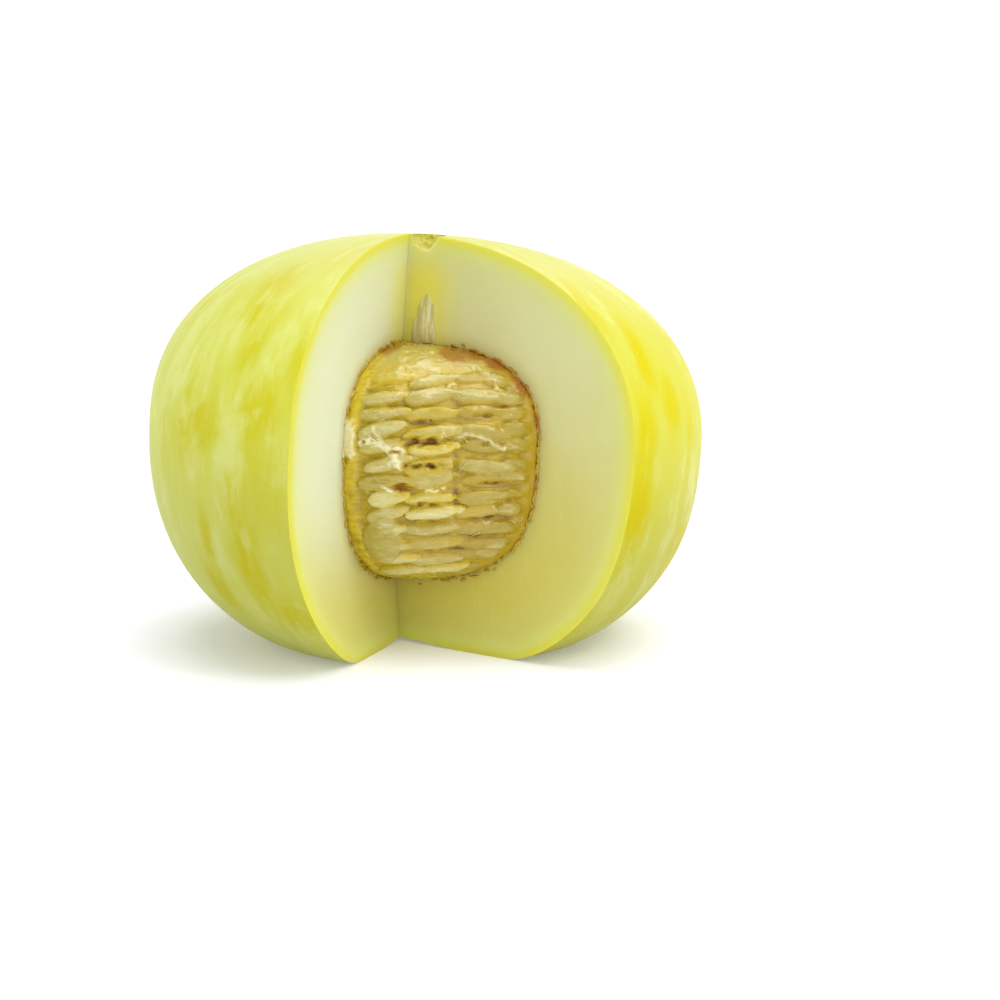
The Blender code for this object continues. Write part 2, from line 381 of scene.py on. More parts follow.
def combined(piece, operation, tool):
    """Joins a closed tool to a piece or cuts it by it. What the tool leaves keeps the tool's material."""
    applied(piece, "BOOLEAN", operation=operation, object=tool, solver="EXACT", material_mode="TRANSFER")
    bpy.data.objects.remove(tool, do_unlink=True)


def facing(azimuth):
    """The level direction at an azimuth from the front, -Y, towards +X."""
    return Vector((math.sin(azimuth), -math.cos(azimuth)))


def on_right_cut(along, back, height):
    """A point by its distance from the crease along the right cut and back into the flesh."""
    inward = Vector((math.cos(RIGHT_CUT), math.sin(RIGHT_CUT)))
    spot = CREASE + facing(RIGHT_CUT) * along + inward * back
    return Vector((spot.x, spot.y, height))


# How far apart the three noises of one vector are read
APART = Vector((9.3, -21.5, 37.9))


def wandering(place, pace, seed):
    """A smooth vector that wanders with the place, about one turn in each pace."""
    here = place / pace + Vector((seed, -seed, 2.0 * seed))
    return Vector([noise.noise(here + APART * step) for step in range(3)])


def make_wedge():
    """The wedge that the knife took: a three-sided prism with fine faces and its edge on the crease."""
    bpy.ops.object.select_all(action="DESELECT")
    bpy.ops.mesh.primitive_cylinder_add(vertices=3, radius=1.0, depth=2.0)
    wedge = opened("wedge")
    shape = bmesh.from_edit_mesh(wedge.data)
    corners = [CREASE, CREASE + facing(LEFT_CUT) * CUT_REACH, CREASE + facing(RIGHT_CUT) * CUT_REACH]
    order = sorted(shape.verts, key=lambda point: (math.atan2(point.co.x, -point.co.y), point.co.z))
    for step, point in enumerate(order):
        corner = corners[step // 2]
        point.co = Vector((corner.x, corner.y, math.copysign(FLOOR_DEPTH * CUT_OVERSHOOT, point.co.z)))
    bmesh.update_edit_mesh(wedge.data)
    bpy.ops.mesh.select_all(action="SELECT")
    bpy.ops.mesh.subdivide(number_cuts=CUT_ROWS)
    return closed(wedge, flesh_finish)


def make_knob(name, size, centre, cut, taper, sides, rings, material):
    """A round knob turned to a cut, that narrows towards its top by taper."""
    bpy.ops.object.select_all(action="DESELECT")
    bpy.ops.mesh.primitive_uv_sphere_add(segments=sides, ring_count=rings, radius=0.5)
    knob = opened(name)
    shape = bmesh.from_edit_mesh(knob.data)
    turn = Matrix.Rotation(cut - math.radians(90), 4, "Z")
    for point in shape.verts:
        width = 1.0 - taper * (0.5 + point.co.z)
        point.co = Vector((point.co.x * width, point.co.y * width, point.co.z)) * size
        point.co = turn @ point.co + centre
    bmesh.update_edit_mesh(knob.data)
    return closed(knob, material)


def roughened(piece, amount, pace, stretch, seed):
    """Moves every point of a piece a little, by noise that is drawn out along each axis by stretch."""
    for point in piece.data.vertices:
        here = Vector([value / pull for value, pull in zip(point.co, stretch)])
        point.co += wandering(here, pace, seed) * amount
    return piece


melon = turned("melon_dressed", melon_point, SKIN_RINGS, SKIN_SIDES, skin_finish)
combined(melon, "DIFFERENCE", make_wedge())
dimple_size = Vector((2 * DIMPLE_RADIUS, 2 * DIMPLE_RADIUS, 2 * DIMPLE_DEPTH))
dimple_place = on_right_cut(DIMPLE_ALONG, DIMPLE_BACK, TOP_HEIGHT)
dimple = make_knob("dimple", dimple_size, dimple_place, RIGHT_CUT, 0.0, DIMPLE_SIDES, DIMPLE_RINGS,
                   cork_finish)
combined(melon, "DIFFERENCE", roughened(dimple, *DIMPLE_ROUGH))
strand_size = Vector((STRAND_WIDTH, 4 * STRAND_RISE, STRAND_TIP - STRAND_FOOT))
strand_place = on_right_cut(STRAND_ALONG, STRAND_RISE, (STRAND_TIP + STRAND_FOOT) / 2)
strand = make_knob("strand", strand_size, strand_place, RIGHT_CUT, STRAND_TAPER, STRAND_SIDES, STRAND_RINGS,
                   strand_finish)
combined(melon, "UNION", roughened(strand, *STRAND_ROUGH))
cavity = turned("cavity", cavity_point, CAVITY_RINGS, CAVITY_SIDES, flesh_finish)
roughened(cavity, *CAVITY_ROUGH)
cavity.data.transform(Matrix.Translation(CAVITY_CENTRE) @ Matrix.Rotation(-CAVITY_TILT, 4, "Y"))
combined(melon, "DIFFERENCE", cavity)


def skin_share(point):
    """1 on the skin's superellipse, and less inside it."""
    level = point.z / (TOP_HEIGHT if point.z > 0.0 else BASE_HEIGHT)
    fullness = TOP_FULLNESS if point.z > 0.0 else BASE_FULLNESS
    return (abs(point.xy.length / RADIUS) ** fullness + abs(level) ** fullness) ** (1.0 / fullness)


def depth_under_skin(point):
    """Millimetres from a point of the upright melon to its skin, near enough."""
    share = max(skin_share(point), 1e-3)
    return 1000.0 * max(min(point.length * (1.0 / share - 1.0), point.z + FLOOR_DEPTH), 0.0)


def depth_over_cavity(point):
    """Millimetres from a point of the flesh to the seed cavity's wall, near enough."""
    here = Matrix.Rotation(CAVITY_TILT, 4, "Y") @ (point - CAVITY_CENTRE)
    level = here.z / (CAVITY_TOP if here.z > 0.0 else CAVITY_BASE)
    share = ((here.xy.length / CAVITY_RADIUS) ** CAVITY_FULLNESS + abs(level) ** CAVITY_FULLNESS)
    return 1000.0 * max(here.length * (1.0 - share ** (-1.0 / CAVITY_FULLNESS)), 0.0)


# Where the skin is deeper yellow: azimuth and height of the middle in degrees and millimetres, half width,
# half length and strength
STREAKS = [
    (-42, 38, 5, 6, 1.0), (-40, 32, 4, 5, 0.9), (-33, 33, 3, 4, 0.4), (-35, 23, 3, 8, 0.8),
    (-24, 21, 2.5, 6, 0.7), (-31, 9, 5, 9, 0.9), (-48, 3, 8, 10, 0.85), (-41, 3, 5, 8, 0.6),
    (-59, 2, 3, 12, 0.5), (-29, -8, 7, 12, 0.5), (-36, -13, 2.5, 9, 0.8), (-45, -24, 2, 7, 1.0),
    (-34, -28, 3.5, 14, 0.95), (-48, -36, 4, 6, 0.7), (-27, -40, 5, 6, 0.8), (-60, 33, 9, 7, 0.5),
    (-28, 47, 12, 5, 0.7), (33, 50, 9, 5, 0.7), (43, 39, 4, 6, 1.0), (52, 26, 3, 10, 0.8),
    (58, 15, 3, 6, 1.0), (48, 7, 2.5, 11, 1.0), (47, -12, 3.5, 14, 1.0), (67, 7, 3, 10, 0.5),
]
# The loose streaks round the rest of the melon: how many, and the least and most of each number
LOOSE_STREAKS = 46
LOOSE_RANGES = [(72, 292), (-45, 50), (2, 7), (4, 14), (0.4, 1.0)]
RIGHT_SIDE_TURN = math.radians(10)
# How fast a mark fades away from its middle, and how far off it ends
MARK_FADE, MARK_END = 0.7, 9.0


def draw_streaks():
    """The streaks that are listed, and loose ones round the rest of the melon."""
    draw = random.Random(11)
    return STREAKS + [[draw.uniform(*ends) for ends in LOOSE_RANGES] for _ in range(LOOSE_STREAKS)]


def streak_strength(streaks, azimuth, height):
    strength = 0.0
    for middle, level, width, length, most in streaks:
        aside = (math.degrees(azimuth) - middle + 180.0) % 360.0 - 180.0
        off = (aside / width) ** 2 + ((1000.0 * height - level) / length) ** 2
        if off < MARK_END:
            strength = max(strength, most * math.exp(-MARK_FADE * off))
    return strength


def leaned(point):
    """Tips a point of the upright melon to the right, fully above its middle and not at its base."""
    rise = min(max((point.z + FLOOR_DEPTH) / FLOOR_DEPTH, 0.0), 1.0)
    angle = LEAN * rise * rise * (3.0 - 2.0 * rise)
    x = point.x * math.cos(angle) + point.z * math.sin(angle)
    return Vector((x, point.y, point.z * math.cos(angle) - point.x * math.sin(angle)))


def paint(piece, name, values, kind="FLOAT"):
    """Stores one value, or one vector, on every point of a piece."""
    layer = piece.data.attributes.new(name, kind, "POINT")
    flat = [part for value in values for part in value] if kind == "FLOAT_VECTOR" else list(values)
    layer.data.foreach_set("vector" if kind == "FLOAT_VECTOR" else "value", flat)


def put_in_place(piece):
    """Leans an upright piece with the melon and stands it on the floor."""
    for point in piece.data.vertices:
        point.co = leaned(point.co) + AXIS_FOOT


def smooth(value, low, high):
    """0 at low and 1 at high, with a soft step between them. It falls where low is the greater."""
    share = min(max((value - low) / (high - low), 0.0), 1.0)
    return share * share * (3.0 - 2.0 * share)


# How much painted shade and yellow bounce light are laid on the flesh on each side of the notch: the least,
# what the base adds, and the heights where that starts and ends
LEFT_PAINTED_SHADE = (0.0, 0.85, -0.002, -0.052)
RIGHT_PAINTED_SHADE = (0.42, 0.45, 0.030, -0.040)


def painted_shade_yellowing(point):
    """Painted shade and yellow bounce light on the flesh: more to the right of the notch, and more towards
    the base.
    """
    way = facing(0.5 * (LEFT_CUT + RIGHT_CUT))
    here = point.xy - CREASE
    on_right = way.x * here.y - way.y * here.x > 0.0
    least, added, high, low = RIGHT_PAINTED_SHADE if on_right else LEFT_PAINTED_SHADE
    return least + added * smooth(point.z, high, low)


def core_column(point):
    """1 in the stringy column of flesh from the seeds up to the stem, 0 away from it."""
    middle = on_right_cut(COLUMN_ALONG, 0.0, 0.0)
    aside = (point.xy - middle.xy).length / COLUMN_RADIUS
    return math.exp(-aside * aside) * smooth(point.z, *COLUMN_FOOT) * smooth(point.z, *COLUMN_TOP)


points = [point.co.copy() for point in melon.data.vertices]
streaks = draw_streaks()
azimuths = [math.atan2(point.x, -point.y) for point in points]
measures = {"depth": depth_under_skin, "core": depth_over_cavity, "painted_shade_yellowing": painted_shade_yellowing, "column": core_column}
for name, measure in measures.items():
    paint(melon, name, [measure(point) for point in points])
paint(melon, "streak", [streak_strength(streaks, turn, point.z) for turn, point in zip(azimuths, points)])
paint(melon, "right_side_share", [0.5 + 0.5 * math.sin(turn - RIGHT_SIDE_TURN) for turn in azimuths])
paint(melon, "meridian", [(math.sin(turn), -math.cos(turn), math.atan2(point.z, point.xy.length))
                          for turn, point in zip(azimuths, points)], "FLOAT_VECTOR")
paint(melon, "foot", [(STRAND_TIP - point.z) / (STRAND_TIP - STRAND_FOOT) for point in points])
put_in_place(melon)
melon.data.shade_smooth()
melon.data.set_sharp_from_angle(angle=CORNER)
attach(melon, "root")
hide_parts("melon")

# The seed mass is the wet pulp that filled the melon's middle, with flat seeds packed in it in rows. The
# wedge came away from it, so the seeds that lay against the wedge show, sunk in amber gel under a torn, wet
# membrane. The pulp clings to the flesh all round.
GAP = 0.0003
CLING = 0.0003
SEED_LENGTH = 0.0125
SEED_ROOM = 0.0014
SEED_SINK = 0.0003
TOP_ROW = 0.0220
ROW_PITCH = 0.0041
ROW_COUNT = 14
# The columns of seeds, from left to right: azimuth and slope in degrees, and length as a share
SEED_COLUMNS = [(-13.5, 9.0, 0.85), (2.0, 8.0, 1.0), (18.5, -2.0, 1.0), (30.0, -4.0, 0.66)]
# How far a seed strays from its row in metres and from its column and slope in degrees, and then once more
# from its slope in radians, its sink in metres and its size
ROW_STRAY, TURN_STRAY, TILT_STRAY = 0.0006, 1.5, 5.0
SLOPE_STRAY, SINK_STRAY, SIZE_STRAY = 0.06, (-0.0003, 0.0005), (0.9, 1.1)
TOP_SINK, TOP_SINK_RISE = 0.0005, (0.012, 0.020)
# How pale the seeds are, left and right of an azimuth in degrees: the least, and what chance adds
LEFT_TINT, RIGHT_TINT, TINT_CHANGE = (0.32, 0.45), (0.0, 0.4), 8
RANDOM_SEED = 7
SEED_SIZE = (7.5, 2.1, 1.5)
SEED_TAPER = 0.35
PULP_RINGS = 180
PULP_SIDES = 250
# The run of the outline that the notch shows, and the shares of the rings before, over and after it
FINE_RUN, RING_SHARES = (-0.050, 0.052), (0.0, 0.06, 0.94, 1.0)
# This share of the columns of points lies within this azimuth of the front
FINE_AZIMUTH, FINE_SHARE = math.radians(46), 0.8
# The powers of a seed's outline, along it and across it
SEED_BLUNT, SEED_ROUND = 2.6, 2.2
# In millimetres: the pulp's depth between seeds, how soft the joints are, a depth that stands for no seed,
# and the floor of a torn gap
BED_DEPTH = 0.85
TIGHT_JOINT, FILLED_JOINT = 0.18, 0.45
FAR_BELOW = -9.0
TORN_DEPTH = -1.9
# Where gel covers the seeds, from wholly to not at all: millimetres from each cut, and heights at the foot
LEFT_GEL, RIGHT_GEL, FOOT_GEL = (2.2, 4.6), (1.8, 4.6), (-0.0350, -0.0320)
# The heights between which the rows give way to the smooth dome, how pale that is, and how proud
DOME_RISE, DOME_TINT, DOME_RELIEF = (0.0165, 0.0225), 0.42, 0.15
# One wide seed that lies across the rows at the lower left, under the gel
POCKET = (math.radians(-16.5), -0.0215, math.radians(70), (7.6, 5.2, 1.6))
POCKET_TINT, POCKET_CALM = 0.35, [(-17, -21.5, 8, 7, 1.4)]
# The lip of pale flesh: millimetres from the left cut, the heights of its foot and top, and how white it is
LIP_EDGE, LIP_FOOT, LIP_TOP, LIP_FILM = (3.2, 2.2), (-0.0022, -0.0008), (0.0095, 0.0065), 0.66
# Noise worked into the pulp: its pace in millimetres along each axis, and a shift that sets it apart. All but
# the membranes' is read from the unrolled surface: round the pulp, up and out.
MEMBRANE_CLOUD, LUMP_CLOUD, PIT_CLOUD = ((9, 9, 4), 3.0), ((5.0, 2.6, 5.0), 8.0), ((2.2, 0.8, 2.0), 2.0)
WRINKLE_CLOUD, FINE_WRINKLE_CLOUD = ((3.6, 0.9, 3.0), 1.0), ((1.5, 0.5, 1.5), 5.0)
ASIDE_CLOUD, UP_CLOUD, HOLE_CLOUD = ((1.6, 1.6, 3.0), 4.0), ((1.4, 1.0, 3.0), 6.0), ((1.3, 1.0, 2.0), 11.0)
GEL_CLOUD, RAGGED_CLOUD = ((2.2, 5.0, 3.0), 7.0), ((1.7, 1.7, 3.0), 12.0)


def finish_pulp():
    """Amber gel at the rims, brown where it browned, painted shade in the deep gaps, cream where a seed fills
    the pulp, painted highlights on the crests, whitish films, all wet.
    """
    pulp = Finish("wet_pulp", Specular_IOR_Level=0.5, Subsurface_Weight=0.2, Subsurface_Scale=0.0015,
                  Subsurface_Radius=(1.0, 0.92, 0.4), Coat_Weight=0.5, Coat_Roughness=0.1)
    rise, tint, browning_and_shade, film = [pulp.painted(name) for name in ("rise", "tint", "browning_and_shade", "film")]
    fibres = pulp.cloud(pulp.place((0.22, 0.6, 1.0)), 1300.0, 4.0, 0.62)
    patches = pulp.cloud(pulp.place((0.5, 1.0, 1.0)), 330.0, 4.0, 0.6)
    lift = rise + (fibres - 0.5) * 0.9 + (patches - 0.5) * 0.8
    # painted shade: the pulp turns dark brown the deeper it lies between the seeds
    tone = lift.between(-1.7, -1.0).blend(colour(100, 70, 8), colour(172, 147, 24))
    amber = tint.between(0.0, 1.0).blend(colour(180, 153, 32), colour(210, 187, 48))
    tone = lift.between(-1.1, -0.5).blend(tone, amber)
    seed = (tint + (patches - 0.5) * 0.5).between(0.1, 0.9).blend(colour(168, 149, 50),
                                                                   colour(208, 199, 134))
    tone = lift.between(-0.5, 0.4).blend(tone, seed)
    # whitish fibrous strokes over the seeds, partly painted highlight
    strokes = fibres.between(0.54, 0.70) * lift.between(-0.5, 0.6) * tint.between(-0.1, 0.8) * 0.5
    tone = strokes.blend(tone, colour(226, 220, 176))
    # painted highlight: the highest crests of the seeds are paler
    tone = (lift.between(0.5, 1.3) * 0.5).blend(tone, colour(220, 214, 168))
    # brown where the pulp browned, partly painted shade in the gaps under the cavity's roof and between the
    # rows
    tone = ((browning_and_shade + (patches - 0.5) * 0.8).between(0.2, 0.8) * 0.9).blend(tone, colour(160, 104, 8))
    tone = (film + (fibres - 0.5) * 0.6).between(0.15, 1.0).blend(tone, colour(230, 224, 184))
    pulp.feeds("Base Color", tone)
    pulp.feeds("Roughness", 0.16 + fibres * 0.25)
    pulp.bumped(fibres * 0.55 + patches * 0.45, 0.00035, 0.7)
    return pulp.material


pulp_finish = finish_pulp()


def pulp_radius(height):
    """How far the pulp reaches from the cavity's axis at a height above its centre."""
    span = (CAVITY_TOP if height > 0.0 else CAVITY_BASE) - GAP
    level = min(abs(height) / span, 0.999)
    return (CAVITY_RADIUS - GAP) * (1.0 - level**CAVITY_FULLNESS) ** (1.0 / CAVITY_FULLNESS)


def cut_azimuth(cut, radius, height):
    """Where a knife cut crosses a circle about the cavity's axis at a height, as an azimuth there."""
    way = facing(cut)
    axis = CAVITY_CENTRE - Vector((height * math.sin(CAVITY_TILT), 0.0, 0.0))
    start = CREASE - axis.xy
    along = -start.dot(way) + math.sqrt(max(start.dot(way) ** 2 - start.length_squared + radius**2, 0.0))
    point = start + way * along
    return math.atan2(point.x, -point.y)


def seed_places():
    """(azimuth, height, slope, length share) for each seed that shows, row by row from the top."""
    draw = random.Random(RANDOM_SEED)
    for row in range(ROW_COUNT):
        for azimuth, slope, share in SEED_COLUMNS:
            height = TOP_ROW - row * ROW_PITCH + draw.uniform(-ROW_STRAY, ROW_STRAY)
            turn = math.radians(azimuth) + math.radians(draw.uniform(-TURN_STRAY, TURN_STRAY))
            tilt = math.radians(slope) + math.radians(draw.uniform(-TILT_STRAY, TILT_STRAY))
            radius = pulp_radius(height)
            reach = (0.5 * SEED_LENGTH * share + SEED_ROOM) / radius
            low = cut_azimuth(LEFT_CUT, radius, height) + reach
            high = cut_azimuth(RIGHT_CUT, radius, height) - reach
            if low < high:
                yield min(max(turn, low), high), height, tilt, share


def seed_matrix(azimuth, height, slope, sink=SEED_SINK):
    """Lays a seed along the pulp's surface, about half sunk in it."""
    radius = pulp_radius(height)
    step = 0.0005
    lean_in = math.atan2(pulp_radius(height - step) - pulp_radius(height + step), 2 * step)
    centre = facing(azimuth) * (radius - sink)
    place = Matrix.Translation((centre.x, centre.y, height)) @ Matrix.Rotation(azimuth, 4, "Z")
    return place @ Matrix.Rotation(-lean_in, 4, "X") @ Matrix.Rotation(-slope, 4, "Y")


def pulp_profile():
    """The pulp's half outline from its lowest point to its highest: the run along it, radius and height."""
    angles = np.linspace(-math.pi / 2, math.pi / 2, 4001)
    share = 2.0 / CAVITY_FULLNESS
    radius = (CAVITY_RADIUS + CLING) * np.abs(np.cos(angles)) ** share
    height = np.where(angles > 0.0, CAVITY_TOP, CAVITY_BASE) + CLING
    height = height * np.sign(angles) * np.abs(np.sin(angles)) ** share
    run = np.concatenate(([0.0], np.cumsum(np.hypot(np.diff(radius), np.diff(height)))))
    return run - np.interp(0.0, height, run), radius, height


RUN, RUN_RADIUS, RUN_HEIGHT = pulp_profile()


def pulp_point(angle):
    """The pulp's outline, with its points crowded together where the notch shows it."""
    run = np.interp(angle / math.pi + 0.5, RING_SHARES, (RUN[0], *FINE_RUN, RUN[-1]))
    return float(np.interp(run, RUN, RUN_RADIUS)), float(np.interp(run, RUN, RUN_HEIGHT))


def crowded(azimuth):
    """Moves the pulp's columns of points round to the notch."""
    edge = math.pi * FINE_SHARE
    if abs(azimuth) < edge:
        return azimuth * FINE_AZIMUTH / edge
    back = (abs(azimuth) - edge) / (math.pi - edge)
    return math.copysign(FINE_AZIMUTH + back * (math.pi - FINE_AZIMUTH), azimuth)


def steps(values, low, high):
    """The soft step of smooth, for a whole array."""
    share = np.clip((values - low) / (high - low), 0.0, 1.0)
    return share * share * (3.0 - 2.0 * share)


def clouds(points, pace, shift):
    """Noise from about -1 to 1 at each point, with its own pace in millimetres along each axis."""
    return np.array([noise.noise(Vector(point)) for point in points * 1000.0 / np.array(pace) + shift])


def spots(marks, azimuth, height):
    """How strongly each point is marked. A mark is azimuth, height, half width, half height and strength."""
    most = np.zeros(len(azimuth))
    for middle, level, width, tall, strength in marks:
        off = ((np.degrees(azimuth) - middle) / width) ** 2 + ((1000.0 * height - level) / tall) ** 2
        most = np.maximum(most, strength * np.exp(-MARK_FADE * off))
    return most


# Marks on the pulp: azimuth and height of the middle in degrees and millimetres, half width, half height and
# strength
# Brown spots where the torn pulp browned; those under the cavity's roof and in the torn gaps are partly
# painted shade
BROWN_AND_SHADE_SPOTS = [
    (11, 24.2, 6, 2.2, 1.2), (21, 23.9, 6, 1.5, 1.1), (28, 22.0, 5, 1.9, 1.0), (33, 17.0, 3, 3.5, 1.0),
    (-24, 25.2, 5, 1.6, 1.0), (-31, 23.6, 4, 1.6, 0.8), (-6, 26.2, 16, 1.0, 0.55),
    (36, 8, 2, 5, 0.7), (-26, 14, 2, 6, 0.4), (24, 11.5, 6, 0.8, 0.5), (-2, 3.2, 6, 1.0, 0.6),
    (36, -8, 2, 9, 0.5), (-8, -8.6, 3.5, 1.2, 0.7), (22, -7.8, 5, 0.6, 0.5),
]
# Torn gaps, sunk deep; the pulp's depth colouring darkens them with painted shade
DARK_GAPS = [
    (-1, 3.0, 6.5, 1.3, 1.0), (-1, -2.9, 6, 0.9, 1.0), (-8, -8.6, 3.2, 1.3, 1.0), (21, -7.7, 6, 0.7, 0.8),
    (-1, 8.0, 4, 0.7, 0.7), (20, 2.6, 5, 0.6, 0.6), (19, 9.6, 6, 0.6, 0.7), (8.5, -6, 0.8, 9, 0.6),
    (0, -12.8, 5, 0.7, 0.7), (-14, -6.8, 4, 0.6, 0.5), (27, -12, 6, 0.7, 0.6), (-12, 11.8, 4, 0.6, 0.5),
    (-3, -17, 6, 0.7, 0.6), (20, -17, 7, 0.7, 0.6), (14, -22, 9, 0.7, 0.6),
]
MEMBRANES = [
    (-2, 18.0, 19, 4.5, 0.9), (26, 17, 5, 3, 0.8), (-17, -21.5, 6, 5.5, 1.0), (20, -10, 10, 6, 0.9),
    (24, 5, 7, 4, 0.7), (8, -28, 20, 4, 0.9), (-12, -14, 5, 3, 0.5), (4, 10, 7, 3, 0.6), (22, 12, 8, 2, 0.7),
]
# Torn films that lie on the seeds: half width, how proud and how white, then the points that each runs over
FILMS = [
    (0.85, 0.35, 1.00, (-21.5, 2.6), (-18.5, 3.0), (-15.2, 2.9), (-12.0, 1.2), (-9.6, -0.9), (-8.8, -3.2)),
    (0.60, 0.30, 0.70, (-16.6, 6.4), (-15.4, 4.6), (-14.2, 3.1)),
    (0.95, 0.30, 0.90, (-12.0, 1.2), (-10.0, 1.4), (-7.6, 0.6)),
    (0.60, 0.25, 0.70, (-9.6, -0.9), (-11.5, -2.6)),
    (0.60, 0.40, 0.60, (9.0, 4.7), (13.0, 4.9), (17.0, 3.9), (20.5, 2.2), (23.5, 1.2)),
    (0.50, 0.25, 0.70, (0.0, -8.9), (2.6, -9.2), (5.0, -8.4)),
    (0.50, 0.20, 0.60, (3.6, 7.0), (5.0, 5.8), (4.4, 4.6)),
    (0.70, 0.25, 0.80, (-13.6, -8.2), (-12.2, -9.6), (-11.0, -9.2)),
    (0.70, 0.10, 0.45, (-3.0, 17.4), (3.0, 16.6), (8.0, 17.2)),
    (0.60, 0.15, 0.55, (-12.0, 14.0), (-5.0, 14.9), (1.0, 13.8)),
    (0.80, 0.10, 0.45, (-12.0, 20.6), (-4.0, 21.6), (4.0, 20.4)),
    (0.70, 0.10, 0.35, (-6.0, 23.2), (1.0, 23.8), (7.0, 22.6)),
    (0.80, 0.20, 0.50, (22.0, 17.8), (24.5, 15.8), (26.0, 15.0)),
    (0.80, 0.20, 0.50, (17.5, 21.0), (20.5, 20.2), (23.0, 19.2)),
    (0.70, 0.15, 0.50, (-19.0, -9.6), (-15.0, -10.2)),
    (0.60, 0.10, 0.40, (-14.0, 9.8), (-8.0, 10.6), (-3.0, 10.0)),
]


def film_strength(azimuth, height, waver):
    """1 in the middle of a film and 0 off it, and how far the films lift each point, in millimetres."""
    across, up = azimuth * CAVITY_RADIUS * 1000.0 + waver[0], 1000.0 * height + waver[1]
    strength, lift = np.zeros(len(azimuth)), np.zeros(len(azimuth))
    for width, proud, white, *path in FILMS:
        line = [(math.radians(turn) * CAVITY_RADIUS * 1000.0, level) for turn, level in path]
        for (x0, y0), (x1, y1) in zip(line, line[1:]):
            along = np.clip(((across - x0) * (x1 - x0) + (up - y0) * (y1 - y0))
                            / ((x1 - x0) ** 2 + (y1 - y0) ** 2), 0.0, 1.0)
            away = np.hypot(across - x0 - along * (x1 - x0), up - y0 - along * (y1 - y0)) / (1.2 * width)
            strength = np.maximum(strength, white * np.exp(-away * away))
            lift = np.maximum(lift, proud * np.exp(-away * away))
    return strength, lift


def seed_relief(points, matrices):
    """How far seeds reach over each point, with tight and with filled joints, and which one is nearest."""
    bed = np.full(len(points), -BED_DEPTH)
    tight, filled = np.exp(bed / TIGHT_JOINT), np.exp(bed / FILLED_JOINT)
    most, nearest = np.full(len(points), FAR_BELOW), np.zeros(len(points), int)
    for number, (matrix, (length, tall, thick)) in enumerate(matrices):
        inverse = np.array(matrix.inverted())
        x, y, z = (1000.0 * (points @ inverse[:3, :3].T + inverse[:3, 3])).T
        half = tall * (1.0 - SEED_TAPER * np.clip(x / length, 0.0, 1.0))
        off = np.abs(x / length) ** SEED_BLUNT + np.abs(z / half) ** SEED_ROUND
        reach = thick * np.sqrt(np.clip(1.0 - off, 0.0, 1.0)) + y
        reach = np.where((off < 1.0) & (np.abs(y) < 4.0), reach, FAR_BELOW)
        tight = tight + np.exp(reach / TIGHT_JOINT)
        filled = filled + np.exp(np.maximum(reach, -4.0) / FILLED_JOINT)
        closer = reach > most
        most, nearest = np.where(closer, reach, most), np.where(closer, number, nearest)
    return TIGHT_JOINT * np.log(tight), FILLED_JOINT * np.log(filled), nearest


def flesh_lip(from_left, height):
    """1 on the lip of pale flesh that stayed on the pulp at its left edge, and 0 off it."""
    return steps(from_left, *LIP_EDGE) * steps(height, *LIP_FOOT) * steps(height, *LIP_TOP)


